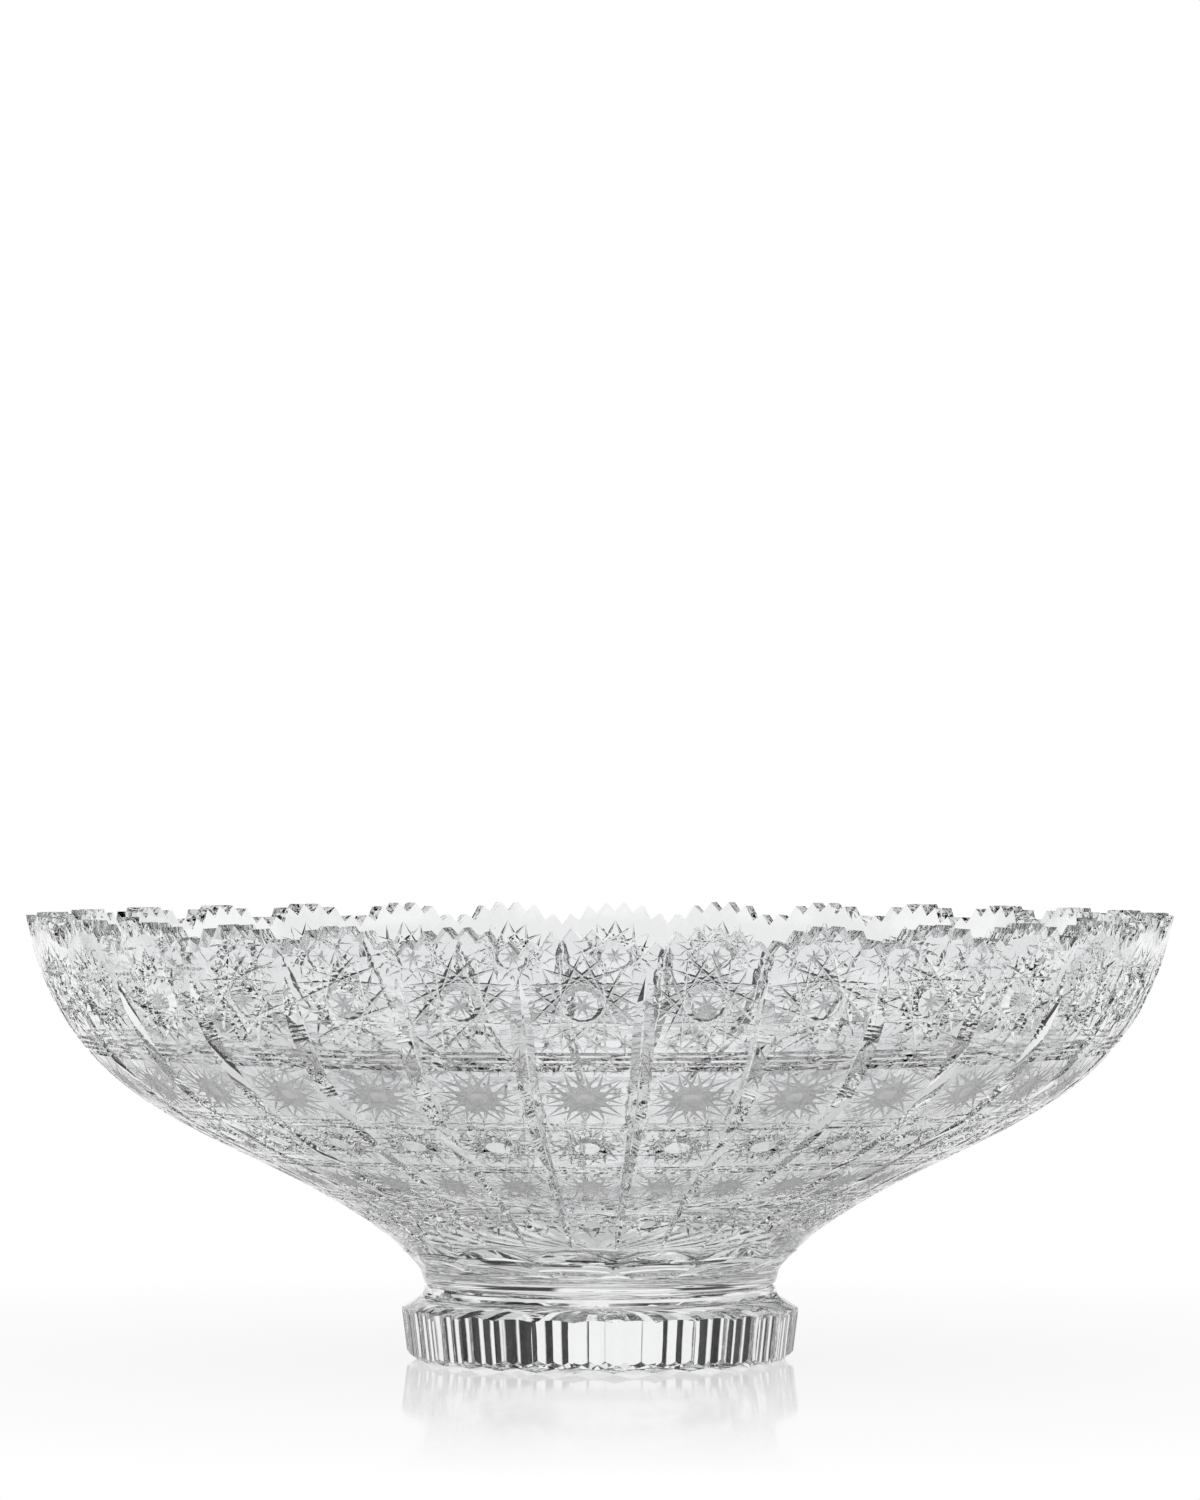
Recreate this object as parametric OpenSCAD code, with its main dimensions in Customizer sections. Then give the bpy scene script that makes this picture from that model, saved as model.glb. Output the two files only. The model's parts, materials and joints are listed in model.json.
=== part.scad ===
// Footed cut-crystal punch bowl: a cut bowl bonded to a fluted disc foot.
// Millimetres, +Z up. The origin is the centre of the face that the foot stands on.

/* [Bowl] */
// Radius of the blank at the rim
rim_r = 178; // [170:0.5:186]
// Height of the whole piece, up to the tips of the rim's teeth
total_h = 138; // [132:0.5:144]
// Wall thickness at the rim
rim_wall = 8.6; // [7:0.1:10]
// Height of the inner floor at the centre
floor_z = 41; // [38:0.5:44]

/* [Collar and waist] */
// Radius of the collar's upper edge
collar_r = 64.7; // [62:0.1:67]
// Height of the collar's upper edge
collar_z = 37.5; // [36:0.1:39]
// Radius of the waist, where bowl and foot meet
waist_r = 54.7; // [52:0.1:56]
// Height of the joint at the waist
waist_z = 23; // [22:0.1:24]

/* [Cutting] */
// Number of panels round the bowl, and of flutes and star rays on the foot
panels = 30; // [24:2:36]

/* [Foot] */
// Radius of the foot's upper edge
foot_r = 61.7; // [60:0.1:63]
// Height of the foot's upper edge
foot_edge_z = 15.6; // [14:0.1:17]
// Radius of the wheel that cut the foot's flutes
flute_r = 28; // [24:1:34]
// Lean of the flutes, deeper towards the bottom, in degrees
flute_lean = 6; // [4:0.5:7]
// Width of the chamfer round the base
base_chamfer_w = 2.8; // [2:0.1:3.5]
// Height of the chamfer round the base
base_chamfer_h = 2.4; // [1.5:0.1:3]
// Depth of the star cut's rays at their outer ends
star_depth = 1.6; // [1:0.1:2]
// Radius of the plain middle of the star cut
star_hub_r = 7; // [5:0.5:12]

/* [Bond] */
// Thickness of the adhesive film
bond_t = 0.3; // [0.2:0.05:0.4]
// How far the film's edge stays inside the waist
bond_inset = 1.2; // [0.8:0.1:2]

/* [Hidden] */
$fn = 96;
pitch = 360 / panels;
// Edge break round the two ground faces at the waist
waist_bevel = 0.9;
mating_r = waist_r - waist_bevel;
// A cutter stands this far clear of what it cuts
clear = 5;

// The outside and inside of the bowl are cubic curves of [radius, height] points: an end, two
// handles and the other end. A handle is placed from the end that it belongs to.
rim_handle = [-12.7, -66.7];
collar_handle = [45.4, 35.6];
outside = [
    [rim_r, total_h],
    [rim_r, total_h] + rim_handle,
    [collar_r, collar_z] + collar_handle,
    [collar_r, collar_z]];
wall_end = [collar_r + 7.3, collar_z + 19.5];
inner_rim_handle = [-11, -43.5];
inner_slope = [66.7, 31.4];
inside_wall = [
    [rim_r - rim_wall, total_h],
    [rim_r - rim_wall, total_h] + inner_rim_handle,
    wall_end + inner_slope,
    wall_end];
inside_floor = [
    wall_end,
    wall_end - inner_slope / 3,
    [wall_end.x * 0.4, floor_z],
    [0, floor_z]];
// Cove below the collar, and the foot's shoulder
cove = [
    [collar_r, collar_z],
    [collar_r - 5, collar_z - 6],
    [waist_r, waist_z + 6],
    [waist_r, waist_z + waist_bevel]];
shoulder = [
    [waist_r, waist_z - waist_bevel],
    [waist_r, waist_z - 4],
    [foot_r - 4, foot_edge_z + 3],
    [foot_r, foot_edge_z]];

function cubic(h, t) =
    pow(1 - t, 3) * h[0] + 3 * pow(1 - t, 2) * t * h[1] + 3 * (1 - t) * t * t * h[2] + t * t * t * h[3];
function curve(h, n, first = 0) = [for (i = [first:n]) cubic(h, i / n)];
function reversed(v) = [for (i = [len(v) - 1:-1:0]) v[i]];

// The blown blank of the bowl. Its wheel cuts are left to its looks.
module bowl_blank() {
    rotate_extrude()
        polygon(concat(
            [[0, waist_z + bond_t / 2], [mating_r, waist_z + bond_t / 2]],
            reversed(curve(cove, 4)),
            reversed(curve(outside, 9, first = 1)),
            [outside[0], inside_wall[0]],
            curve(inside_wall, 8, first = 1),
            curve(inside_floor, 5, first = 1)));
}

module bowl() {
    color([0.93, 0.95, 0.96])
        bowl_blank();
}

// Clear adhesive between the two ground faces at the waist
module bond_film() {
    color([0.85, 0.88, 0.9])
        translate([0, 0, waist_z - bond_t / 2])
            cylinder(h = bond_t, r = waist_r - bond_inset);
}

module foot_blank() {
    base_r = foot_r - 1.6;
    rotate_extrude()
        polygon(concat(
            [[0, 0], [base_r - base_chamfer_w, 0], [base_r, base_chamfer_h]],
            reversed(curve(shoulder, 4)),
            [[mating_r, waist_z - bond_t / 2], [0, waist_z - bond_t / 2]]));
}

// A tall hollow flute in the side of the foot, dying out at its arched top
module flute() {
    arch_top = foot_edge_z + 1.2;
    translate([foot_r, 0, arch_top])
        rotate([0, flute_lean, 0])
            translate([flute_r, 0, -2 * arch_top])
                cylinder(h = 3 * arch_top, r = flute_r);
}

// One ray of the star cut under the foot, deepest at its outer end
module star_ray() {
    run = foot_r - star_hub_r;
    half_w = 2 * star_depth;
    rotate([0, -atan2(star_depth, run), 0])
        translate([star_hub_r, 0, 0])
            rotate([90, 0, 90])
                linear_extrude(run + clear)
                    polygon([[0, 0], [half_w, -half_w / 1.3], [-half_w, -half_w / 1.3]]);
}

module foot() {
    color([0.9, 0.92, 0.94])
        difference() {
            foot_blank();
            for (i = [0:panels - 1]) rotate(90 + (i + 0.5) * pitch) {
                flute();
                star_ray();
            }
        }
}

bowl();
bond_film();
foot();
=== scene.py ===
"""Looks of the footed cut-crystal punch bowl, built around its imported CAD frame."""

import json
import math

import bmesh
import bpy
import numpy as np
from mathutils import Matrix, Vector

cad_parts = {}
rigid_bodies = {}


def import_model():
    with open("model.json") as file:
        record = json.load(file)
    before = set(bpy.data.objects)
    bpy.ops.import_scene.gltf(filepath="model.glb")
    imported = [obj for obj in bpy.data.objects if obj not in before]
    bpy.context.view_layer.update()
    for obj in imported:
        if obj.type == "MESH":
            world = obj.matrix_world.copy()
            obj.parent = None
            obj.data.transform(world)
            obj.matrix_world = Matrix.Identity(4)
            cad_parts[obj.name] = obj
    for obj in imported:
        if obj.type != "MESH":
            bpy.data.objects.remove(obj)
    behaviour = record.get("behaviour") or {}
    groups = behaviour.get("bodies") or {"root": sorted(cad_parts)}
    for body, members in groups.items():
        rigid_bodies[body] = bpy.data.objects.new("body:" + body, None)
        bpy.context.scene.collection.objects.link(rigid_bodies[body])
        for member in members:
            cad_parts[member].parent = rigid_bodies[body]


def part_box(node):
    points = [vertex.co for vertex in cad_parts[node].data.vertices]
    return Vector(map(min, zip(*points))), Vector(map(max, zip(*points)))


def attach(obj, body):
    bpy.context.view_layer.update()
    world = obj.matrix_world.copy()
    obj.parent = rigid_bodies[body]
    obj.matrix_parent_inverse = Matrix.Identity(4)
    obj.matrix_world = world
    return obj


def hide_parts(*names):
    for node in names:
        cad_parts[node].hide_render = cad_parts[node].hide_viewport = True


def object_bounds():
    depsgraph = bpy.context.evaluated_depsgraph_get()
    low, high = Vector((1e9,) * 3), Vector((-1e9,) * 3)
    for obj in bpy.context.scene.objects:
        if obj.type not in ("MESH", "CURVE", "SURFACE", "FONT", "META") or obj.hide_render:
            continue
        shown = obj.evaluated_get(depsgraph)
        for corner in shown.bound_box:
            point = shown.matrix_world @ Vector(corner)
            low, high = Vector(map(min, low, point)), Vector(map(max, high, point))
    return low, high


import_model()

CAD_LOW, CAD_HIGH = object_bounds()

bl_info = {
    "name": "Cut-crystal punch bowl",
    "version": (1, 0, 0),
    "blender": (4, 5, 0),
    "location": "View3D > Sidebar > Punch bowl",
    "description": "Builds the cut bowl, its bond and its fluted foot on the CAD frame",
    "category": "Object",
}

MM = 0.001
PANELS = 30
PRINTS = 15
HALF_PANEL = math.pi / PANELS
# The tallest tooth next to the X axis is a twelfth of a panel off it, and its tip reaches the CAD box
TIP_ANGLE = 2 * HALF_PANEL / 12
RIM_RADIUS = CAD_HIGH.x / MM / math.cos(TIP_ANGLE)
# A mitre cut, a border between two thumbprints and a ridge of the foot all lie at this angle
FRONT = -math.pi / 2
# What kind of surface a face is
BLANK, CUT, SATIN, FACET, THUMB, JOINT = range(6)


def length(name, description, millimetres):
    """A length property, given in millimetres and kept in metres."""
    return bpy.props.FloatProperty(
        name=name, description=description, default=millimetres * MM, unit="LENGTH", precision=5
    )


def plain(name, description, value):
    """A property with no unit."""
    return bpy.props.FloatProperty(name=name, description=description, default=value, precision=4)


def tint(name, description, rgb):
    """A colour property."""
    return bpy.props.FloatVectorProperty(
        name=name, description=description, default=rgb, size=3, subtype="COLOR", min=0.0, max=1.0
    )


class BowlSizes(bpy.types.PropertyGroup):
    """Blank of the bowl: its outside, wall and collar."""

    rim_radius: length("Rim radius", "Radius of the blank at the tips of the teeth", RIM_RADIUS)
    height: length("Height", "Height of the tips above the table", CAD_HIGH.z / MM)
    wall: length("Wall", "Wall thickness at the rim", 8.6)
    floor_height: length("Floor height", "Height of the inner floor at its middle", 41)
    collar_radius: length("Collar radius", "Radius at the collar's upper edge", 64.7)
    collar_height: length("Collar height", "Height of the collar's upper edge", 37.5)
    waist_radius: length("Waist radius", "Radius of the waist", 54.7)
    waist_bevel: length("Waist bevel", "Edge break round the ground faces", 0.9)
    print_depth: length("Print depth", "Depth of the thumbprints", 1.2)


class CutSizes(bpy.types.PropertyGroup):
    """The wheel cuts on one panel."""

    scallop_drop: length("Scallop drop", "From the highest tips down to a valley", 8.7)
    mitre_slope: plain("Mitre slope", "Half width of a mitre cut for each unit of depth", 0.85)
    mitre_flat: length("Mitre flat", "Half width of the bright flat along a mitre's bottom", 0.28)
    star_depth: length("Hobstar depth", "Depth of a hobstar's grooves beside its button", 1.7)
    star_slope: plain("Hobstar slope", "Half width of a hobstar's groove for each unit of depth", 0.95)
    star_flat: length("Hobstar flat", "Half width of the bright flat along a hobstar's grooves", 0.12)
    fine_depth: length("Fine star depth", "Depth of a satin star's grooves in its middle", 0.62)
    fine_slope: plain("Fine star slope", "Half width of a satin groove for each unit of depth", 1.7)
    line_depth: length("Line depth", "Depth of the lines between the bands", 0.55)
    line_slope: plain("Line slope", "Half width of a line for each unit of depth", 1.0)


class FootSizes(bpy.types.PropertyGroup):
    """The foot and the bond above it."""

    edge_radius: length("Edge radius", "Radius of the foot's upper edge", 61.7)
    edge_height: length("Edge height", "Height of the foot's upper edge", 15.6)
    base_radius: length("Base radius", "Radius just above the base chamfer", 60.1)
    chamfer_width: length("Chamfer width", "Width of the chamfer round the base", 2.8)
    chamfer_height: length("Chamfer height", "Height of the chamfer round the base", 2.4)
    flute_radius: length("Flute radius", "Radius of the wheel that cut the flutes", 28)
    flute_sag: length("Flute sag", "Depth of a flute below the ridges beside it", 1.05)
    ray_depth: length("Ray depth", "Depth of the star cut's rays at the edge of the base", 1.2)
    hub_radius: length("Hub radius", "Plain middle of the star cut", 7)
    hub_step: length("Hub step", "Width of the slope round the plain middle", 0.8)
    hub_height: length("Hub height", "Height of the plain middle above the table", 0.25)
    bevel_width: length("Bevel width", "Width of the edge break round the foot's ground face", 0.9)
    bevel_height: length("Bevel height", "Height of the same edge break", 0.75)
    bond_inset: length("Bond inset", "How far the bond's edge stays inside the waist", 1.2)


class Finishes(bpy.types.PropertyGroup):
    """Colours and gloss."""

    crystal: tint("Crystal", "Tint of the crystal", (0.905, 0.91, 0.915))
    # Painted shade: this grey stands in for the grey that frosted cuts show against the backlight; the
    # frosting itself is the roughness below
    satin: tint("Satin", "Tint of the satin cuts", (0.6, 0.6, 0.61))
    crystal_index: plain("Refractive index", "Refractive index of lead crystal", 1.545)
    satin_roughness: plain("Satin roughness", "Roughness of the satin cuts", 0.42)
    bond_index: plain("Bond index", "Refractive index of the bond's edge", 1.5)


class StageSettings(bpy.types.PropertyGroup):
    """The camera: where it stands and its lens."""

    camera_distance: length("Camera distance", "Distance from the bowl's axis", 2200)
    camera_height: length("Camera height", "Height above the table", 189)
    camera_turn: bpy.props.FloatProperty(
        name="Camera turn", description="Turn of the camera round the bowl, off a mitre",
        default=math.radians(-4.3), subtype="ANGLE",
    )
    lens: plain("Lens", "Focal length in millimetres", 169.75)


# Curves and profiles, all in millimetres


def cubic(handles, t):
    """Point on a cubic curve: each of the four handles weighted by its Bernstein polynomial of t."""
    t = np.asarray(t, float)[:, None]
    a, b, c, d = (np.asarray(h, float) for h in handles)
    return (1 - t) ** 3 * a + 3 * (1 - t) ** 2 * t * b + 3 * (1 - t) * t * t * c + t ** 3 * d


class Profile:
    """A falling (radius, height) curve that is read by its arc length."""

    def __init__(self, points):
        run = np.linalg.norm(np.diff(points, axis=0), axis=1)
        self.s = np.concatenate([[0.0], np.cumsum(run)])
        self.points = points
        self.along = np.gradient(points, self.s, axis=0)
        self.along /= np.linalg.norm(self.along, axis=1)[:, None]
        self.end = self.s[-1]

    def read(self, s, table):
        """A table's two columns at arc length s."""
        return np.stack([np.interp(s, self.s, table[:, 0]), np.interp(s, self.s, table[:, 1])], axis=-1)

    def radius(self, s):
        """Radius at arc length s."""
        return np.interp(s, self.s, self.points[:, 0])

    def frame(self, s):
        """Point, direction of travel and outward normal at arc length s."""
        along = self.read(s, self.along)
        return self.read(s, self.points), along, np.stack([-along[..., 1], along[..., 0]], axis=-1)

    def at_height(self, z):
        """Arc length at which the falling curve passes height z."""
        return float(np.interp(-z, -self.points[:, 1], self.s))

    def edge(self, s):
        """Half the panel's width at arc length s."""
        return HALF_PANEL * self.radius(s)


def bowl_outside(b):
    """Outside of the bowl from the rim to the waist: the CAD's two cubic curves, end to end."""
    rim = np.array([b["rim_radius"], b["height"]])
    collar = np.array([b["collar_radius"], b["collar_height"]])
    waist = np.array([b["waist_radius"], b["waist"] + b["waist_bevel"]])
    wall = cubic([rim, rim + [-12.7, -66.7], collar + [45.4, 35.6], collar], np.linspace(0, 1, 2000))
    cove = cubic([collar, collar + [-5, -6], waist + [0, 5.1], waist], np.linspace(0, 1, 400))
    return Profile(np.concatenate([wall, cove[1:]]))


def bowl_inside(b):
    """Inside of the bowl from the rim to its middle: the CAD's two cubic curves, end to end."""
    rim = np.array([b["rim_radius"] - b["wall"], b["height"]])
    turn = np.array([b["collar_radius"] + 7.3, b["collar_height"] + 19.5])
    slope = np.array([66.7, 31.4])
    floor = b["floor_height"]
    wall = cubic([rim, rim + [-11, -43.5], turn + slope, turn], np.linspace(0, 1, 1200))
    base = cubic([turn, turn - slope / 3, (0.4 * turn[0], floor), (0, floor)], np.linspace(0, 1, 600))
    return Profile(np.concatenate([wall, base[1:]]))


def millimetres(group):
    """All of a property group's values, its lengths turned into millimetres."""
    values = {}
    for key, prop in group.bl_rna.properties.items():
        if key in ("rna_type", "name"):
            continue
        value = getattr(group, key)
        values[key] = value / MM if prop.unit == "LENGTH" else value
    return values


# Cutters, in the slab's coordinates: across the panel, down its profile, and up out of the glass


def tube_faces(rings, sides):
    """Faces of a closed tube of rings: side quads and the two end caps."""
    i, j = np.meshgrid(np.arange(rings - 1), np.arange(sides), indexing="ij")
    a = i * sides + j
    b = i * sides + (j + 1) % sides
    quads = np.stack([a, b, b + sides, a + sides], axis=-1).reshape(-1, 4)
    return [*quads, np.arange(sides)[::-1], (rings - 1) * sides + np.arange(sides)]


def solid(kind, rings):
    """A closed tube through rings of points, turned so that its faces look outwards."""
    rings = np.asarray(rings, float)
    verts = rings.reshape(-1, 3)
    faces = tube_faces(len(rings), rings.shape[1])
    volume = 0.0
    for f in faces:
        p = verts[f]
        volume += np.einsum("ij,j->", np.cross(p[1:-1], p[2:]), p[0])
    return kind, verts, faces if volume > 0 else [f[::-1] for f in faces]


def groove(kind, centres, depths, across, slope, flat=0.0, top=1.2):
    """A wheel's V-shaped stroke.

    A station's section has two flanks that open by slope for each unit of height, up to top above
    the slab's face, from a bottom that is a line or, where flat isn't zero, a strip."""
    centres, depths = np.asarray(centres, float), np.asarray(depths, float)
    across = np.broadcast_to(np.asarray(across, float), centres.shape)
    bottom = flat * np.clip(depths / depths.max(), 0.02, 1)
    wide = bottom + slope * (top + depths)
    corners = [(-bottom, -depths), (wide, top), (-wide, top)]
    if flat:
        corners.insert(1, (bottom, -depths))
    rings = [np.c_[centres + across * offset[:, None], np.broadcast_to(height, depths.shape)]
             for offset, height in corners]
    return solid(kind, np.stack(rings, axis=1))


def stroke(kind, a, b, depth, slope, flat=0.0, ends=-0.08):
    """A straight stroke from a to b, deepest in its middle and running out at its ends."""
    a, b = np.asarray(a, float), np.asarray(b, float)
    along = (b - a) / np.linalg.norm(b - a)
    centres = a + (b - a) * np.array([-0.04, 0.5, 1.04])[:, None]
    return groove(kind, centres, np.array([ends, 1, ends]) * depth, (-along[1], along[0]), slope, flat)


def star_tips(centre, half_w, half_h, limit, points):
    """Tips of a star at even angles, each as far out as limit or a rectangle of half sizes half_w
    and half_h lets it."""
    a = math.pi / 2 + 2 * math.pi * np.arange(points) / points
    reach = 1 / np.maximum(np.abs(np.cos(a)) / half_w, np.abs(np.sin(a)) / half_h)
    return centre + np.minimum(reach, limit)[:, None] * np.stack([np.cos(a), np.sin(a)], axis=1)


def star(kind, tips, skip, depth, slope, flat=0.0):
    """Strokes that join each tip to the one skip places on. They leave a button in the middle."""
    count = len(tips)
    return [stroke(kind, tips[i], tips[(i + skip) % count], depth, slope, flat) for i in range(count)]


def spokes(kind, centre, reach, count, depth, slope):
    """Strokes through the centre, each making two rays of a small star."""
    a = math.pi * (np.arange(count) + 0.5) / count
    ends = reach * np.stack([np.cos(a), np.sin(a)], axis=1)
    return [stroke(kind, centre - e, centre + e, depth, slope) for e in ends]


def dimple(kind, centre, reach, depth, sides):
    """A shallow cone ground into the middle of a star."""
    a = 2 * math.pi * (np.arange(sides) + 0.5) / sides
    round_it = np.stack([np.cos(a), np.sin(a)], axis=1)
    grow = (depth + 1) / depth
    low = np.c_[centre + 0.02 * reach * round_it, np.full(sides, -0.98 * depth)]
    high = np.c_[centre + grow * reach * round_it, np.full(sides, 1.0)]
    return solid(kind, [low, high])


def line_band(out, top, bottom, lines, depth, slope, last=1.0):
    """Level lines right across the panel, the last one deeper, and two diagonals from corner to
    corner."""
    strokes = []
    for k in range(lines):
        s = top + (bottom - top) * (k + 0.5) / lines
        wide = out.edge(s) + 2
        d = depth * (last if k == lines - 1 else 1)
        strokes.append(stroke(CUT, (-wide, s), (wide, s), d, slope, ends=1))
    mid, wide = (top + bottom) / 2, out.edge(bottom)
    for rise in (-0.5, 0.5):
        tall = rise * (bottom - top)
        strokes.append(stroke(CUT, (-wide, mid - tall), (wide, mid + tall), 0.8 * depth, slope, ends=0.7))
    return strokes


def teeth(out, c, wall):
    """Everything above one scallop's teeth, right through the wall and level on both its sides."""
    zig_x = TEETH[:, 0] * 2 * out.edge(0)
    zig_s = c["scallop_drop"] * (1 - TEETH[:, 1])
    right = np.stack([zig_x, zig_s], axis=1)
    past = np.array([[2 * zig_x[-1] - zig_x[-2], zig_s[-2]], [2 * zig_x[-1] - zig_x[-2], -4]])
    half = np.concatenate([right, past])
    outline = np.concatenate([half[::-1] * [-1, 1], half[1:]])
    skew = out.along[0, 0] / out.along[0, 1]
    rings = []
    for height in (-wall - 1, 1.0):
        rings.append(np.c_[outline + [0, -skew * height], np.full(len(outline), height)])
    return solid(CUT, rings)


def mitre(out, c, side):
    """The cut between two panels: it starts as a pointed leaf and narrows down the bowl."""
    s = np.linspace(out.at_height(MITRE_TOP), out.at_height(MITRE_END), 18)
    half = np.interp(-out.frame(s)[0][:, 1], -MITRE_WIDTHS[:, 0], MITRE_WIDTHS[:, 1])
    depth = np.maximum(half - c["mitre_flat"], 0) / c["mitre_slope"]
    centres = np.stack([side * out.edge(s), s], axis=1)
    before = [[side * out.edge(s[0] - 2), s[0] - 2]]
    after = [[side * out.edge(s[-1] + 2), s[-1] + 2]]
    return groove(CUT, np.concatenate([before, centres, after]), np.concatenate([[-0.5], depth, [-0.5]]),
                  (1.0, 0.0), c["mitre_slope"], c["mitre_flat"])


def collar_facet(out):
    """A flat facet of the collar: a plane tilted into the glass, bounded above by an arch and below
    by a level step. In the slab a plane sinks towards the facet's middle as a parabola."""
    low, tall = out.at_height(FACET_LOW), FACET_TALL
    middle = out.edge(low)
    x = np.linspace(-1.15, 1.15, 13) * 2 * middle
    sag = FACET_SAG * (x / (2 * middle)) ** 2
    tilt = FACET_SAG / tall
    rings = []
    for s, height in ((low - tall - 6, 6 * tilt), (low, -FACET_SAG), (low, 1.5), (low - tall - 6, 3.0)):
        rings.append(np.c_[middle + x, np.full(len(x), s), height + (sag if height < 1.4 else 0 * x)])
    return solid(FACET, np.stack(rings, axis=1))


def thumbprint(out, b):
    """A thumbprint with a level top and a round bottom: in the slab, one half of a bowl-shaped
    paraboloid."""
    top = out.at_height(PRINT_TOP)
    middle, deep = out.edge(top), b["print_depth"]
    half = 0.94 * 2 * middle
    x = np.linspace(-1.3, 1.3, 15)
    y = np.linspace(0, 1.35, 7)
    rings = []
    for v in y:
        under = np.c_[middle + half * x, np.full(len(x), top + PRINT_TALL * v), deep * (x * x + v * v - 1)]
        over = under[::-1] * [1, 1, 0] + [0, 0, 3.0]
        rings.append(np.concatenate([under, over]))
    return solid(THUMB, rings)


# Heights of the bands on the bowl's outside, from the rim down
STAR_1 = 115.6
LINES_2 = (102.1, 96.0)
FINE_3 = (96.0, 80.4)
LINES_4 = (80.4, 77.4)
STAR_5 = 72.1
LINES_6 = (66.2, 63.4)
FINE_7 = (63.4, 54.5)
LINES_8 = (54.5, 51.2)
STAR_9 = 46.6
MITRE_TOP = 124.0
MITRE_END = 38.5
# Half widths of a mitre cut down the bowl: (height, half width)
MITRE_WIDTHS = np.array([
    (124, 0), (120, 1.7), (114, 3.0), (104, 3.3), (90, 3.1), (78, 2.4), (66, 1.85), (53, 1.5),
    (41, 1.05), (38.5, 0.6)])
# Rim teeth on one half of a scallop: (share of the pitch from its middle, share of the drop)
TEETH = np.array([
    (0, 0.61), (1 / 12, 1), (1 / 6, 0.52), (1 / 4, 0.86), (1 / 3, 0.23), (5 / 12, 0.5), (1 / 2, 0)])
# The slab's inner face is kept this far down from the rim, and the blank's own inside goes on
INNER_RUN = 14.0
INSIDE_ROWS = 30
# Faces larger than this, in square millimetres, are split so that they can bend
SPLIT_OVER = 12.0
# Points closer than this, in millimetres, are one
WELD = 0.02
# Copies of a panel are joined where their points fall in the same cell, this many to a millimetre
CELLS = 2e4
# Most of a face's normal points out of the slab where this much of it does
FACING = 0.6
# The collar's facets and the thumbprints below them
FACET_LOW = 33.9
FACET_TALL = 4.8
FACET_SAG = 1.0
PRINT_TOP = 32.4
PRINT_TALL = 6.2


def panel_cutters(out, b, c):
    """All the cutters of one panel."""
    cutters = [teeth(out, c, b["wall"]), mitre(out, c, -1), mitre(out, c, 1)]
    for height, reach, size, points, skip, flat in (
            (STAR_1, 16.4, 1.0, 16, 6, c["star_flat"]), (STAR_5, 12.9, 0.8, 16, 6, 0.0),
            (STAR_9, 8.6, 0.55, 8, 3, 0.0)):
        centre = np.array([0, out.at_height(height)])
        tips = star_tips(centre, reach, reach, reach, points)
        cutters += star(CUT, tips, skip, c["star_depth"] * size, c["star_slope"], flat)
        if height == STAR_1:
            cutters += spokes(SATIN, centre, 0.27 * reach, 4, 0.4, 2.0)
    for (top, low), points, skip, size in ((FINE_3, 14, 6, 1.0), (FINE_7, 12, 5, 0.8)):
        s_top, s_low = out.at_height(top), out.at_height(low)
        centre = np.array([0, (s_top + s_low) / 2])
        cut = np.interp(-(top + low) / 2, -MITRE_WIDTHS[:, 0], MITRE_WIDTHS[:, 1])
        half_w, half_h = out.edge(centre[1]) - cut, (s_low - s_top) / 2
        tips = star_tips(centre, half_w, half_h, 1.22 * min(half_w, half_h), points)
        cutters += star(SATIN, tips, skip, c["fine_depth"] * size, c["fine_slope"])
        cutters.append(dimple(SATIN, centre, 0.24 * half_h, 0.5, points))
    bands = ((LINES_2, 4, 1.7), (LINES_4, 3, 1.2), (LINES_6, 3, 1.2), (LINES_8, 3, 1.2))
    for (top, low), lines, last in bands:
        s_top, s_low = out.at_height(top), out.at_height(low)
        cutters += line_band(out, s_top, s_low, lines, c["line_depth"], c["line_slope"], last)
    return cutters + [collar_facet(out), thumbprint(out, b)]


def kind_mesh(kind, verts, faces):
    """A mesh, in millimetres, whose faces all carry their kind."""
    mesh = bpy.data.meshes.new("slab")
    mesh.from_pydata(verts.tolist(), [], [f.tolist() for f in faces])
    mesh.attributes.new("kind", "INT", "FACE").data.foreach_set("value", [kind] * len(faces))
    return mesh


def cut_slab(out, b, c):
    """One panel as a flat slab with its cutters taken out of it."""
    levels = np.linspace(0, out.end, 45)
    edge = out.edge(levels)
    outline = np.concatenate([np.c_[edge, levels], np.c_[-edge, levels][::-1]])
    rings = [np.c_[outline, np.full(len(outline), height)] for height in (-b["wall"], 0.0)]
    slab = bpy.data.objects.new("slab", kind_mesh(*solid(BLANK, rings)))
    bpy.context.scene.collection.objects.link(slab)
    tools = bpy.data.collections.new("cutters")
    bpy.context.scene.collection.children.link(tools)
    for cutter in panel_cutters(out, b, c):
        tools.objects.link(bpy.data.objects.new("cutter", kind_mesh(*cutter)))
    cut = slab.modifiers.new("cut", "BOOLEAN")
    cut.operation = "DIFFERENCE"
    cut.operand_type = "COLLECTION"
    cut.collection = tools
    cut.solver = "MANIFOLD"
    bm = bmesh.new()
    bm.from_object(slab, bpy.context.evaluated_depsgraph_get())
    for tool in list(tools.objects):
        mesh = tool.data
        bpy.data.objects.remove(tool)
        bpy.data.meshes.remove(mesh)
    bpy.data.collections.remove(tools)
    mesh = slab.data
    bpy.data.objects.remove(slab)
    bpy.data.meshes.remove(mesh)
    return bm


def split_large(bm, planes, normal, over):
    """Split faces larger than over along planes given by their distance along the normal."""
    for d in planes:
        faces = [f for f in bm.faces if f.calc_area() > over]
        geom = list({*faces, *(e for f in faces for e in f.edges), *(v for f in faces for v in f.verts)})
        bmesh.ops.bisect_plane(bm, geom=geom, plane_co=Vector(normal) * d, plane_no=normal, dist=1e-4)


# The bowl's mesh


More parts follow.
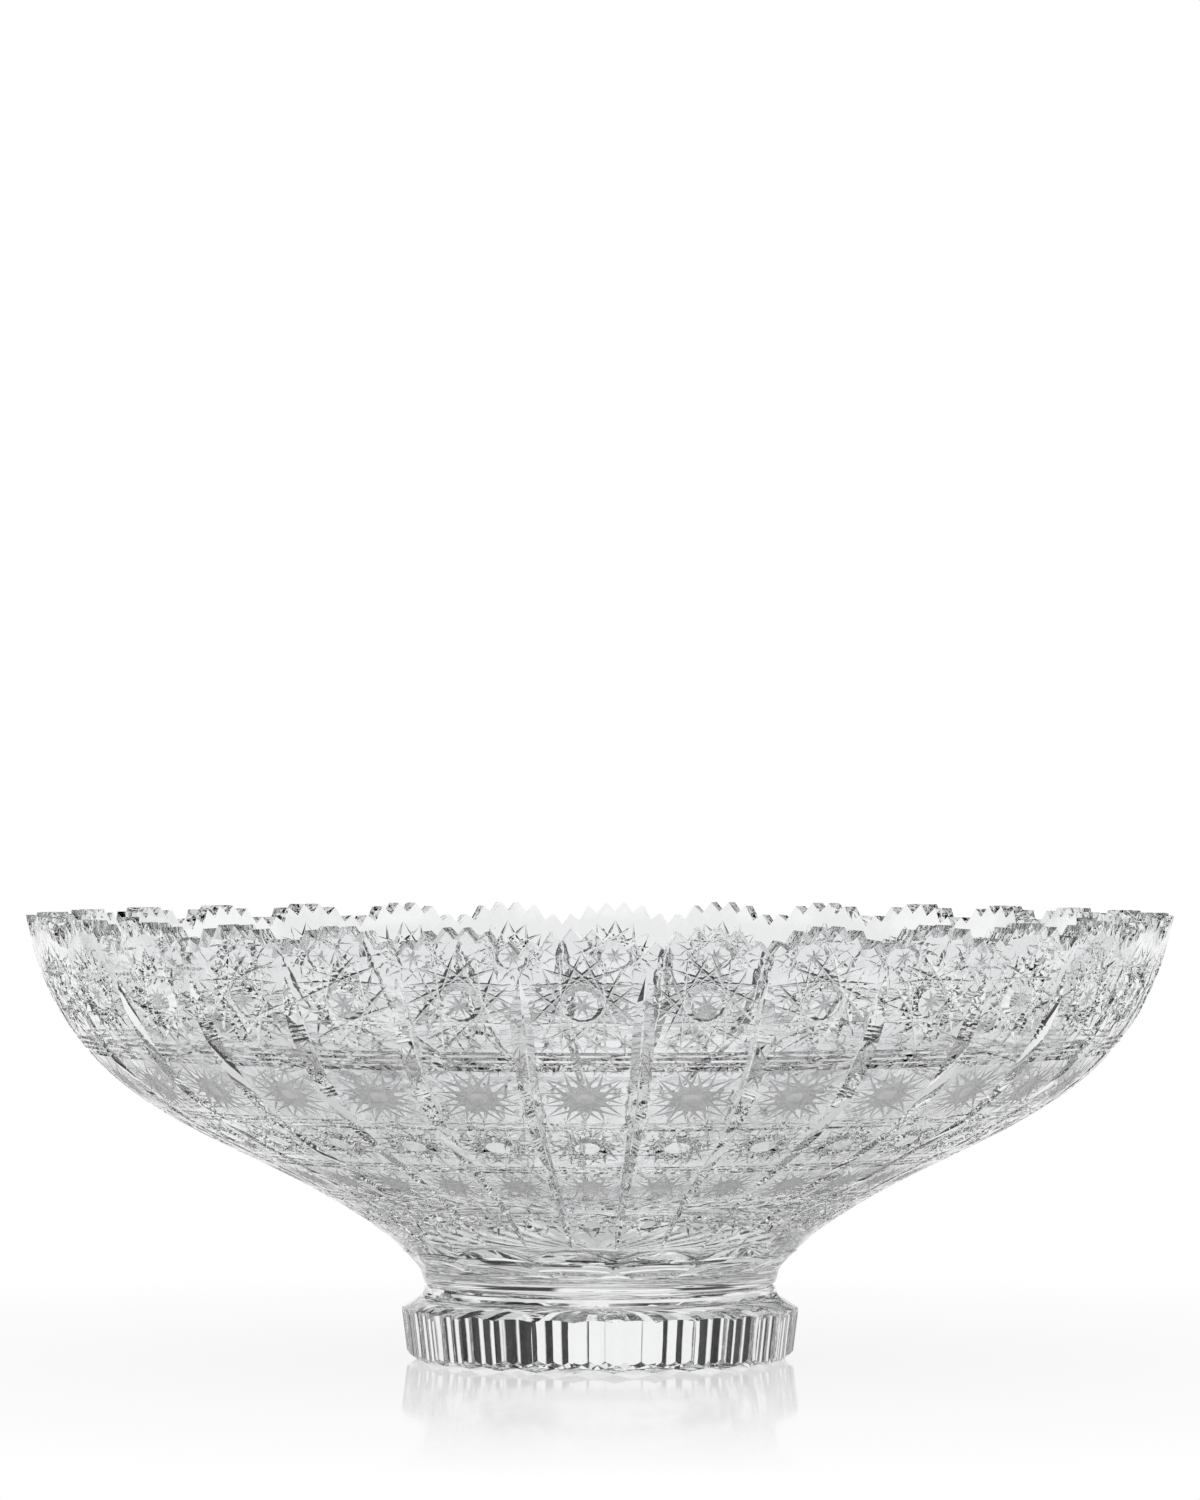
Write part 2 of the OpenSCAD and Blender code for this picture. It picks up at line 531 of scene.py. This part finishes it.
def bend(out, verts, normals, borders):
    """Turn slab points into (radius, angle, height), and slab normals into (round, radius, height).

    A point's depth is measured along the outside's normal, and its distance across the panel is an
    arc. Normals follow by the inverse transpose of that map, so that they vary smoothly over a face
    that is flat in the slab."""
    x, s, up = verts.T
    at, along, outward = out.frame(s)
    point = at + up[:, None] * outward
    angle = x / at[:, 0]
    angle = np.where(borders != 0, borders * HALF_PANEL, np.clip(angle, -HALF_PANEL, HALF_PANEL))
    stretch = point[:, 0] / at[:, 0]
    shear = -point[:, 0] * x * along[:, 0] / at[:, 0] ** 2
    n_across = normals[:, 0] / stretch
    n_along = normals[:, 1] - shear * normals[:, 0] / stretch
    n = np.concatenate([n_across[:, None], n_along[:, None] * along + normals[:, 2:] * outward], axis=1)
    return np.stack([point[:, 0], angle, point[:, 1]], axis=1), n / np.linalg.norm(n, axis=1)[:, None]


class Patch:
    """A piece of surface in (radius, angle, height), as arrays: points, and for each polygon its
    corners, their normals and its kind."""

    def __init__(self):
        self.points, self.corners, self.normals, self.sizes, self.kinds = [], [], [], [], []
        self.count = 0

    def add(self, points, corners, normals, sizes, kinds):
        """Add polygons whose corners count from the first of these points."""
        self.points.append(points)
        self.corners.append(np.asarray(corners, np.int64) + self.count)
        self.normals.append(normals)
        self.sizes.append(np.asarray(sizes, np.int64))
        self.kinds.append(np.asarray(kinds, np.int64))
        self.count += len(points)

    def add_grid(self, angles, rows, normals, kind=BLANK):
        """Add a grid of quads: rows are (radius, height) pairs, or an array of them for each angle,
        and normals are (radius, height) pairs for each row. A row of radius zero is a pole."""
        rows = np.asarray(rows, float)
        m = len(angles)
        if rows.ndim == 2:
            rows = np.repeat(rows[:, None], m, axis=1)
        n = len(rows)
        around = np.broadcast_to(angles, (n, m))
        points = np.stack([rows[..., 0], around, rows[..., 1]], axis=-1).reshape(-1, 3)
        i, j = np.meshgrid(np.arange(n - 1), np.arange(m - 1), indexing="ij")
        a = (i * m + j).ravel()
        quads = np.stack([a, a + 1, a + 1 + m, a + m], axis=1)
        level = np.stack([i.ravel(), i.ravel(), i.ravel() + 1, i.ravel() + 1], axis=1)
        pole = rows[-1, 0, 0] < 1e-9
        # The last row's quads become triangles at a pole
        sizes = np.full(len(quads), 4)
        if pole:
            sizes[-(m - 1):] = 3
        kept = np.arange(4) < sizes[:, None]
        flat = np.zeros((kept.sum(), 3))
        flat[:, 1:] = np.asarray(normals, float)[level[kept]]
        self.add(points, quads[kept], flat, sizes, np.full(len(quads), kind))

    def around(self, turns):
        """Copies of the patch at each turn (angle, side), where side -1 is a mirror image, welded
        where they meet. Gives points in metres, corners, normals, sizes and kinds."""
        parts = (self.points, self.corners, self.normals, self.sizes, self.kinds)
        points, corners, normals, sizes, kinds = (np.concatenate(part) for part in parts)
        ends = np.cumsum(sizes)
        starts = ends - sizes
        owner = np.repeat(np.arange(len(sizes)), sizes)
        back = ends[owner] - 1 - (np.arange(len(corners)) - starts[owner])
        everything = []
        for k, (turn, side) in enumerate(turns):
            angle = turn + side * points[:, 1]
            ways = np.stack([np.cos(angle), np.sin(angle)], axis=1)
            placed = np.concatenate([points[:, :1] * ways, points[:, 2:]], axis=1)
            order = np.arange(len(corners)) if side > 0 else back
            at = angle[corners[order]]
            n = normals[order]
            turned = np.stack([n[:, 1] * np.cos(at) - side * n[:, 0] * np.sin(at),
                               n[:, 1] * np.sin(at) + side * n[:, 0] * np.cos(at), n[:, 2]], axis=1)
            everything.append((placed, corners[order] + k * len(points), turned))
        placed, corners, normals = (np.concatenate(part) for part in zip(*everything))
        cells = np.round(placed * CELLS).astype(np.int64)
        _, index, where = np.unique(cells, axis=0, return_index=True, return_inverse=True)
        corners = where.ravel()[corners]
        sizes, kinds = np.tile(sizes, len(turns)), np.tile(kinds, len(turns))
        # Corners that the weld made one with the next are dropped, then polygons that it folded
        ends = np.cumsum(sizes)
        owner = np.repeat(np.arange(len(sizes)), sizes)
        after = np.arange(len(corners)) + 1
        after = np.where(after == ends[owner], ends[owner] - sizes[owner], after)
        keep = corners != corners[after]
        corners, normals, owner = corners[keep], normals[keep], owner[keep]
        order = np.lexsort((corners, owner))
        twice = (owner[order][1:] == owner[order][:-1]) & (corners[order][1:] == corners[order][:-1])
        sizes = np.bincount(owner, minlength=len(sizes))
        sound = sizes > 2
        sound[owner[order][1:][twice]] = False
        keep = sound[owner]
        return placed[index] * MM, corners[keep], normals[keep], sizes[sound], kinds[sound]


def surface_mesh(name, points, corners, normals, sizes, materials):
    """A mesh with the given corner normals, and a material index for each of its polygons."""
    starts = np.cumsum(sizes) - sizes
    mesh = bpy.data.meshes.new(name)
    mesh.vertices.add(len(points))
    mesh.vertices.foreach_set("co", points.ravel())
    mesh.loops.add(len(corners))
    mesh.loops.foreach_set("vertex_index", corners)
    mesh.polygons.add(len(sizes))
    mesh.polygons.foreach_set("loop_start", starts)
    mesh.polygons.foreach_set("material_index", materials)
    mesh.update(calc_edges=True)
    mesh.shade_smooth()
    mesh.normals_split_custom_set(normals.tolist())
    return mesh


def which_border(out, co):
    """-1 or 1 for points on the slab's left or right border, and 0 for the others."""
    return np.sign(co[:, 0]) * (np.abs(np.abs(co[:, 0]) - out.edge(co[:, 1])) < 0.03)


def cut_patch(out, b, c):
    """The cut outside of one panel and the strip of its inside by the rim, bent into shape."""
    bm = cut_slab(out, b, c)
    bmesh.ops.remove_doubles(bm, verts=bm.verts, dist=WELD)
    split_large(bm, np.arange(6, out.end, 7.5), (0, 1, 0), SPLIT_OVER)
    split_large(bm, [INNER_RUN], (0, 1, 0), 0)
    split_large(bm, (-13.5, -9, -4.5, 0, 4.5, 9, 13.5), (1, 0, 0), SPLIT_OVER)
    bmesh.ops.remove_doubles(bm, verts=bm.verts, dist=WELD)
    # A face that the weld folded is lost, so what it left open is closed again
    bmesh.ops.holes_fill(bm, edges=[e for e in bm.edges if len(e.link_faces) == 1], sides=0)
    bmesh.ops.recalc_face_normals(bm, faces=bm.faces)
    bm.normal_update()
    kind = bm.faces.layers.int["kind"]
    co = np.array([v.co for v in bm.verts])
    border = which_border(out, co)
    bm.verts.index_update()
    unwanted = []
    for f in bm.faces:
        ids = [v.index for v in f.verts]
        p = co[ids]
        on_border = np.all(border[ids] > 0) or np.all(border[ids] < 0)
        below = np.all(p[:, 2] < -b["wall"] + 1e-3) and p[:, 1].mean() > INNER_RUN
        if on_border or below or np.all(p[:, 1] > out.end - 1e-3):
            unwanted.append(f)
    bmesh.ops.delete(bm, geom=unwanted, context="FACES")
    bm.verts.index_update()
    co = np.array([v.co for v in bm.verts])
    border = which_border(out, co)
    corners = np.array([v.index for f in bm.faces for v in reversed(f.verts)])
    sizes = np.array([len(f.verts) for f in bm.faces])
    kinds = np.array([f[kind] for f in bm.faces])
    flat = np.array([f.normal for f in bm.faces])
    flat[np.linalg.norm(flat, axis=1) < 0.5] = (0, 0, 1)
    flat = np.repeat(flat, sizes, axis=0)
    bm.free()
    per_corner = np.repeat(kinds, sizes)
    flat = curved_normals(out, b, co[corners], flat, per_corner)
    points, _ = bend(out, co, np.tile([0.0, 0.0, 1.0], (len(co), 1)), border)
    _, normals = bend(out, co[corners], flat, border[corners])
    return points, corners, normals, sizes, kinds, co


def curved_normals(out, b, at, flat, kinds):
    """Slab normals of corners, where those on collar facets and thumbprints follow the formulas
    that their cutters were made with."""
    n = flat.copy()
    low = out.at_height(FACET_LOW)
    middle = out.edge(low)
    on = (kinds == FACET) & (np.abs(flat[:, 2]) > FACING)
    slope_x = 2 * FACET_SAG * (at[:, 0] - middle) / (2 * middle) ** 2
    curved = np.stack([-slope_x, np.full(len(at), FACET_SAG / FACET_TALL), np.ones(len(at))], axis=1)
    n[on] = curved[on]
    top = out.at_height(PRINT_TOP)
    middle = out.edge(top)
    on = (kinds == THUMB) & (np.abs(flat[:, 2]) > FACING)
    slope_x = 2 * b["print_depth"] * (at[:, 0] - middle) / (0.94 * 2 * middle) ** 2
    slope_y = 2 * b["print_depth"] * (at[:, 1] - top) / PRINT_TALL ** 2
    curved = np.stack([-slope_x, -slope_y, np.ones(len(at))], axis=1)
    n[on] = curved[on]
    return n / np.linalg.norm(n, axis=1)[:, None]


def bowl_mesh(b, c):
    """The whole bowl: one cut panel and its mirror image, repeated, with the inside and the ground
    face at the waist added as grids that start from the panel's own border points."""
    out, inside = bowl_outside(b), bowl_inside(b)
    points, corners, normals, sizes, kinds, slab = cut_patch(out, b, c)
    patch = Patch()
    patch.add(points, corners, normals, sizes, kinds)
    # Inside, from the strip by the rim down to the pole
    strip = np.flatnonzero((slab[:, 2] < -b["wall"] + 1e-3) & (np.abs(slab[:, 1] - INNER_RUN) < 1e-3))
    strip = strip[np.argsort(points[strip, 1])]
    start = points[strip[0]]
    near = np.argmin(np.hypot(*(inside.points - start[[0, 2]]).T))
    s = inside.s[near] + (inside.end - inside.s[near]) * np.linspace(0, 1, INSIDE_ROWS)
    rows, _, away = inside.frame(s)
    fade = np.exp(-(s - s[0]) / 12)[:, None]
    rows = rows + fade * (start[[0, 2]] - rows[0])
    rows[-1, 0] = 0
    away = -away
    away[-1] = (0, 1)
    patch.add_grid(points[strip, 1], rows, away)
    # Edge break and ground face at the waist
    last = np.flatnonzero(np.abs(slab[:, 1] - out.end) < 1e-3)
    last = last[np.argsort(-points[last, 1])]
    angles = points[last, 1]
    joint = b["joint_top"]
    bevel = [points[last][:, [0, 2]], np.tile([b["waist_radius"] - b["waist_bevel"], joint], (len(last), 1))]
    patch.add_grid(angles, bevel, [(0.7, -0.7), (0.7, -0.7)])
    ground = b["waist_radius"] - b["waist_bevel"]
    patch.add_grid(angles, [(ground, joint), (0, joint)], [(0, -1), (0, -1)], JOINT)
    first = FRONT + HALF_PANEL
    turns = []
    for k in range(PRINTS):
        turns += [(first + 4 * k * HALF_PANEL, 1), (first + (4 * k + 2) * HALF_PANEL, -1)]
    return patch.around(turns)


# The foot and the bond

# Columns of the grid across one flute
COLUMNS = 9


def crossing(curve, radius_at):
    """For each column, the share of the way along a fine (radius, height) curve at which it first
    passes outside the surface given by radius_at(height)."""
    past = curve[:, None, 0] >= radius_at(curve[:, 1:2])
    return np.where(past.any(axis=0), past.argmax(axis=0), len(curve) - 1) / (len(curve) - 1)


def foot_patch(f):
    """One flute's slice of the foot, as rows of (radius, height) for each of its columns.

    The shoulder is the CAD's cubic curve. A flute is a hollow cylinder that meets its neighbours
    along ridges on the blank, and its arch is where it cuts the shoulder. The base chamfer is a
    cone, and the star cut's rays deepen outwards and meet along ridges that lie on the table."""
    columns = np.linspace(-HALF_PANEL, HALF_PANEL, COLUMNS)
    joint, waist = f["joint_bottom"], f["waist_radius"]
    edge = np.array([f["edge_radius"], f["edge_height"]])
    top = np.array([waist, joint - f["bevel_height"]])
    handles = [top, top - [0, 3.1], edge + [-4, 3], edge]
    wheel, sag = f["flute_radius"], f["flute_sag"]

    lean = (edge[0] - f["base_radius"]) / (edge[1] - f["chamfer_height"])

    def flute(z):
        blank = f["base_radius"] + lean * (z - f["chamfer_height"])
        axis = blank - sag + wheel
        return axis * np.cos(columns) - np.sqrt(wheel ** 2 - (axis * np.sin(columns)) ** 2)

    arch = crossing(cubic(handles, np.linspace(0, 1, 3000)), flute)
    rows = [np.tile([waist - f["bevel_width"], joint], (COLUMNS, 1))]
    rows += [cubic(handles, share * arch) for share in np.linspace(0, 1, 9)]
    inner = f["base_radius"] - f["chamfer_width"]
    rise = f["chamfer_height"] / f["chamfer_width"]
    ray = f["ray_depth"] / inner * (1 - np.abs(columns) / HALF_PANEL)
    low = np.full(COLUMNS, f["chamfer_height"])
    for _ in range(12):
        low = (flute(low[None])[0] - inner) * rise
    start = rows[-1][:, 1]
    for share in np.linspace(0, 1, 7)[1:]:
        z = start + (low - start) * share
        rows.append(np.stack([flute(z[None])[0], z], axis=1))
    bottom = ray * inner / (1 - ray / rise)
    rows.append(np.stack([inner + bottom / rise, bottom], axis=1))
    outer = rows[-1][:, 0]
    for share in (0.25, 0.5, 0.75, 1):
        r = outer + (f["hub_radius"] - outer) * share
        rows.append(np.stack([r, ray * r], axis=1))
    rows.append(np.tile([f["hub_radius"] - f["hub_step"], f["hub_height"]], (COLUMNS, 1)))
    return columns, np.stack(rows)


def grid_mesh(name, angles, rows, low_centre, high_centre, high_material=0):
    """A closed mesh of revolution-like rows from the top down, with a disc at its top and bottom."""
    turns, m = PANELS, len(angles) - 1
    n = len(rows)
    turn = FRONT + 2 * HALF_PANEL * np.arange(turns) + HALF_PANEL
    theta = (turn[:, None] + angles[None, :-1]).ravel()
    r = np.tile(rows[:, :-1, 0], (1, turns))
    z = np.tile(rows[:, :-1, 1], (1, turns))
    points = np.stack([r * np.cos(theta), r * np.sin(theta), z], axis=-1).reshape(-1, 3)
    total = m * turns
    i, j = np.meshgrid(np.arange(n - 1), np.arange(total), indexing="ij")
    a, b = (i * total + j).ravel(), (i * total + (j + 1) % total).ravel()
    quads = np.stack([a, a + total, b + total, b], axis=1)
    points = np.concatenate([points, [[0, 0, high_centre], [0, 0, low_centre]]])
    ring = np.arange(total)
    cap = np.stack([np.full(total, n * total), ring, (ring + 1) % total], axis=1)
    inner = (n - 1) * total + ring
    foot = np.stack([np.full(total, n * total + 1), np.roll(inner, -1), inner], axis=1)
    mesh = bpy.data.meshes.new(name)
    mesh.from_pydata((points * MM).tolist(), [], quads.tolist() + cap.tolist() + foot.tolist())
    kinds = np.concatenate([np.zeros(len(quads), int), np.full(total, high_material), np.zeros(total, int)])
    mesh.polygons.foreach_set("material_index", kinds)
    mesh.update()
    mesh.shade_smooth()
    mesh.set_sharp_from_angle(angle=math.radians(15))
    return mesh


# Finishes


def material(name, settings, wave=0.0, cloud=(0.0, 0.0)):
    """A Principled finish with fine noise in its roughness and, where wave isn't zero, a faint
    ripple left by the polishing."""
    mat = bpy.data.materials.new(name)
    mat.use_nodes = True
    nodes, links = mat.node_tree.nodes, mat.node_tree.links
    surface = nodes["Principled BSDF"]
    for key, value in settings.items():
        surface.inputs[key].default_value = value
    place = nodes.new("ShaderNodeTexCoord")
    noise = nodes.new("ShaderNodeTexNoise")
    noise.inputs["Scale"].default_value = 90.0
    noise.inputs["Detail"].default_value = 3.0
    links.new(place.outputs["Object"], noise.inputs["Vector"])
    spread = nodes.new("ShaderNodeMapRange")
    spread.inputs["To Min"].default_value, spread.inputs["To Max"].default_value = cloud
    links.new(noise.outputs["Fac"], spread.inputs["Value"])
    links.new(spread.outputs["Result"], surface.inputs["Roughness"])
    if wave:
        bump = nodes.new("ShaderNodeBump")
        bump.inputs["Strength"].default_value = wave
        bump.inputs["Distance"].default_value = 0.0005
        links.new(noise.outputs["Fac"], bump.inputs["Height"])
        links.new(bump.outputs["Normal"], surface.inputs["Normal"])
    return mat


def crystal_finish(look):
    """Polished lead crystal."""
    return material("polished_crystal", {"Base Color": (*look["crystal"], 1), "IOR": look["crystal_index"],
                                         "Transmission Weight": 1.0}, 0.06, (0.0, 0.02))


def satin_finish(look):
    """Fine cuts that were left ground and not polished. Their roughness is real, and their grey base colour,
    darker than the crystal's, is painted shade.
    """
    rough = look["satin_roughness"]
    return material("satin_cut", {"Base Color": (*look["satin"], 1), "IOR": look["crystal_index"],
                                  "Transmission Weight": 0.85}, 0.0, (rough - 0.08, rough + 0.08))


def wetted_finish(look):
    """A ground face that the adhesive wets, so that light crosses it without bending."""
    settings = {"Base Color": (*look["crystal"], 1), "IOR": 1.001, "Transmission Weight": 1.0, "Alpha": 0.0}
    return material("wetted_face", settings)


def bond_finish(look):
    """The thin clear edge of the adhesive."""
    return material("bond_edge", {"Base Color": (0.95, 0.95, 0.93, 1), "IOR": look["bond_index"],
                                  "Transmission Weight": 1.0}, 0.0, (0.02, 0.08))


def table_finish():
    """White table: it glows evenly, and mirrors the foot faintly, less with distance."""
    mat = bpy.data.materials.new("white_table")
    mat.use_nodes = True
    nodes, links = mat.node_tree.nodes, mat.node_tree.links
    nodes.remove(nodes["Principled BSDF"])
    glow = nodes.new("ShaderNodeEmission")
    gloss = nodes.new("ShaderNodeBsdfGlossy")
    gloss.inputs["Roughness"].default_value = 0.06
    place = nodes.new("ShaderNodeTexCoord")
    far = nodes.new("ShaderNodeVectorMath")
    far.operation = "LENGTH"
    fade = nodes.new("ShaderNodeMapRange")
    fade.inputs["From Min"].default_value, fade.inputs["From Max"].default_value = 0.06, 0.36
    fade.inputs["To Min"].default_value, fade.inputs["To Max"].default_value = 0.42, 0.0
    mix = nodes.new("ShaderNodeMixShader")
    links.new(place.outputs["Object"], far.inputs[0])
    links.new(far.outputs["Value"], fade.inputs["Value"])
    links.new(fade.outputs["Result"], mix.inputs["Fac"])
    links.new(glow.outputs["Emission"], mix.inputs[1])
    links.new(gloss.outputs["BSDF"], mix.inputs[2])
    links.new(mix.outputs["Shader"], nodes["Material Output"].inputs["Surface"])
    return mat


# Making the pieces


def place(name, mesh, finishes, node, slot):
    """Put a piece into the scene in place of its CAD node."""
    piece = bpy.data.objects.new(name, mesh)
    bpy.context.scene.collection.objects.link(piece)
    for finish in finishes:
        mesh.materials.append(finish)
    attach(piece, "root")
    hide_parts(node)
    return piece


class PUNCHBOWL_OT_bowl(bpy.types.Operator):
    """Build the cut bowl"""
    bl_idname = "punchbowl.bowl"
    bl_label = "Build bowl"

    def execute(self, context):
        scene = context.scene
        b = millimetres(scene.punchbowl_bowl)
        look = millimetres(scene.punchbowl_finishes)
        joint_top, joint_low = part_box("bowl")[0][2] / MM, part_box("foot")[1][2] / MM
        b.update(joint_top=joint_top, waist=(joint_top + joint_low) / 2)
        points, corners, normals, sizes, kinds = bowl_mesh(b, millimetres(scene.punchbowl_cuts))
        slots = np.where(kinds == SATIN, 1, np.where(kinds == JOINT, 2, 0))
        mesh = surface_mesh("cut_bowl", points, corners, normals, sizes, slots)
        finishes = [crystal_finish(look), satin_finish(look), wetted_finish(look)]
        place("cut_bowl", mesh, finishes, "bowl", "bowl_crystal")
        return {"FINISHED"}


class PUNCHBOWL_OT_foot(bpy.types.Operator):
    """Build the fluted foot and the bond above it"""
    bl_idname = "punchbowl.foot"
    bl_label = "Build foot and bond"

    def execute(self, context):
        scene = context.scene
        f = millimetres(scene.punchbowl_foot)
        look = millimetres(scene.punchbowl_finishes)
        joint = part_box("foot")[1][2] / MM
        f.update(joint_bottom=joint, waist_radius=scene.punchbowl_bowl.waist_radius / MM)
        angles, rows = foot_patch(f)
        mesh = grid_mesh("fluted_foot", angles, rows, f["hub_height"], joint, 1)
        place("fluted_foot", mesh, [crystal_finish(look), wetted_finish(look)], "foot", "foot_crystal")
        low, high = (np.array(corner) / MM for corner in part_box("bond_film"))
        reach = f["waist_radius"] - f["bond_inset"]
        top, bottom, soft = high[2], low[2], 0.05
        edge = ((reach - soft, top), (reach, top - soft), (reach, bottom + soft), (reach - soft, bottom))
        rows = np.stack([np.tile(row, (COLUMNS, 1)) for row in edge])
        mesh = grid_mesh("bond", angles, rows, low[2], high[2], 1)
        heights = np.array([p.normal.z for p in mesh.polygons])
        mesh.polygons.foreach_set("material_index", (np.abs(heights) > 0.9).astype(int))
        place("bond", mesh, [bond_finish(look), wetted_finish(look)], "bond_film", "bond_adhesive")
        return {"FINISHED"}


class PUNCHBOWL_OT_stage(bpy.types.Operator):
    """Lay the table, light the bowl and set the camera"""
    bl_idname = "punchbowl.stage"
    bl_label = "Set stage"

    def execute(self, context):
        scene = context.scene
        stage = scene.punchbowl_stage
        half = 6.0
        mesh = bpy.data.meshes.new("table")
        corners = [(-half, -half, 0), (half, -half, 0), (half, half, 0), (-half, half, 0)]
        mesh.from_pydata(corners, [], [(0, 1, 2, 3)])
        table = bpy.data.objects.new("table", mesh)
        table.location.z = -0.0002
        scene.collection.objects.link(table)
        mesh.materials.append(table_finish())
        studio(scene)
        turn = FRONT + stage.camera_turn
        camera = bpy.data.objects.new("camera", bpy.data.cameras.new("camera"))
        scene.collection.objects.link(camera)
        camera.data.lens = stage.lens
        camera.data.sensor_width = 36
        reach = stage.camera_distance
        camera.location = (reach * math.cos(turn), reach * math.sin(turn), stage.camera_height)
        camera.rotation_euler = (math.pi / 2, 0, turn + math.pi / 2)
        camera.data.clip_start = 0.1
        scene.camera = camera
        return {"FINISHED"}


def studio(scene):
    """A room of white walls with dark flats, the same on all four sides.

    The light in a direction is white, less dark bands beside the diagonals and a dark ring
    overhead. The camera itself sees plain white."""
    scene.view_settings.view_transform = "Standard"
    world = bpy.data.worlds.new("studio")
    scene.world = world
    world.use_nodes = True
    nodes, links = world.node_tree.nodes, world.node_tree.links
    background = nodes["Background"]
    place = nodes.new("ShaderNodeTexCoord")
    split = nodes.new("ShaderNodeSeparateXYZ")
    links.new(place.outputs["Generated"], split.inputs["Vector"])

    def maths(operation, *values):
        node = nodes.new("ShaderNodeMath")
        node.operation = operation
        for socket, value in zip(node.inputs, values):
            if isinstance(value, float):
                socket.default_value = value
            else:
                links.new(value, socket)
        return node.outputs["Value"]

    def ramp(value, stops):
        node = nodes.new("ShaderNodeValToRGB")
        links.new(value, node.inputs["Fac"])
        node.color_ramp.elements[0].position = stops[0][0]
        node.color_ramp.elements[0].color = (*[stops[0][1]] * 3, 1)
        node.color_ramp.elements[1].position = stops[-1][0]
        node.color_ramp.elements[1].color = (*[stops[-1][1]] * 3, 1)
        for where, shade in stops[1:-1]:
            node.color_ramp.elements.new(where).color = (*[shade] * 3, 1)
        return node.outputs["Color"]

    angle = maths("ARCTAN2", split.outputs["Y"], split.outputs["X"])
    # How far round towards a diagonal: 0 along an axis, 1 on a diagonal
    diagonal = maths("ABSOLUTE", maths("SINE", maths("MULTIPLY", angle, 2.0)))
    round_it = ramp(diagonal, [(0.0, 1.0), (0.46, 1.0), (0.52, 0.01), (0.93, 0.01), (0.97, 1.0), (1.0, 1.0)])
    rings = [(0.0, 1.0), (0.42, 1.0), (0.47, 0.03), (0.72, 0.03), (0.77, 1.0), (1.0, 1.0)]
    up = ramp(maths("ABSOLUTE", split.outputs["Z"]), rings)
    mix = nodes.new("ShaderNodeMix")
    mix.data_type = "RGBA"
    mix.blend_type = "MULTIPLY"
    mix.inputs["Factor"].default_value = 1.0
    links.new(round_it, mix.inputs["A"])
    links.new(up, mix.inputs["B"])
    seen = nodes.new("ShaderNodeLightPath")
    plain_white = nodes.new("ShaderNodeMix")
    plain_white.data_type = "RGBA"
    links.new(seen.outputs["Is Camera Ray"], plain_white.inputs["Factor"])
    links.new(mix.outputs["Result"], plain_white.inputs["A"])
    plain_white.inputs["B"].default_value = (1, 1, 1, 1)
    links.new(plain_white.outputs["Result"], background.inputs["Color"])
    scene.cycles.max_bounces = 28
    scene.cycles.transmission_bounces = 28
    scene.cycles.glossy_bounces = 8


class PUNCHBOWL_PT_panel(bpy.types.Panel):
    """Sizes and buttons in the 3D view's sidebar"""
    bl_label = "Punch bowl"
    bl_idname = "PUNCHBOWL_PT_panel"
    bl_space_type = "VIEW_3D"
    bl_region_type = "UI"
    bl_category = "Punch bowl"

    def draw(self, context):
        layout = self.layout
        for key in GROUPS:
            group = getattr(context.scene, key)
            box = layout.box()
            for prop in group.bl_rna.properties.keys():
                if prop not in ("rna_type", "name"):
                    box.prop(group, prop)
        for operator in OPERATORS:
            layout.operator(operator.bl_idname)


GROUPS = {
    "punchbowl_bowl": BowlSizes,
    "punchbowl_cuts": CutSizes,
    "punchbowl_foot": FootSizes,
    "punchbowl_finishes": Finishes,
    "punchbowl_stage": StageSettings,
}
OPERATORS = (PUNCHBOWL_OT_bowl, PUNCHBOWL_OT_foot, PUNCHBOWL_OT_stage)


def register():
    for group in GROUPS.values():
        bpy.utils.register_class(group)
    for operator in OPERATORS:
        bpy.utils.register_class(operator)
    bpy.utils.register_class(PUNCHBOWL_PT_panel)
    for key, group in GROUPS.items():
        setattr(bpy.types.Scene, key, bpy.props.PointerProperty(type=group))


def unregister():
    for key in GROUPS:
        delattr(bpy.types.Scene, key)
    bpy.utils.unregister_class(PUNCHBOWL_PT_panel)
    for operator in reversed(OPERATORS):
        bpy.utils.unregister_class(operator)
    for group in reversed(GROUPS.values()):
        bpy.utils.unregister_class(group)


def main():
    register()
    bpy.ops.punchbowl.bowl()
    bpy.ops.punchbowl.foot()
    bpy.ops.punchbowl.stage()


if __name__ == "__main__":
    main()
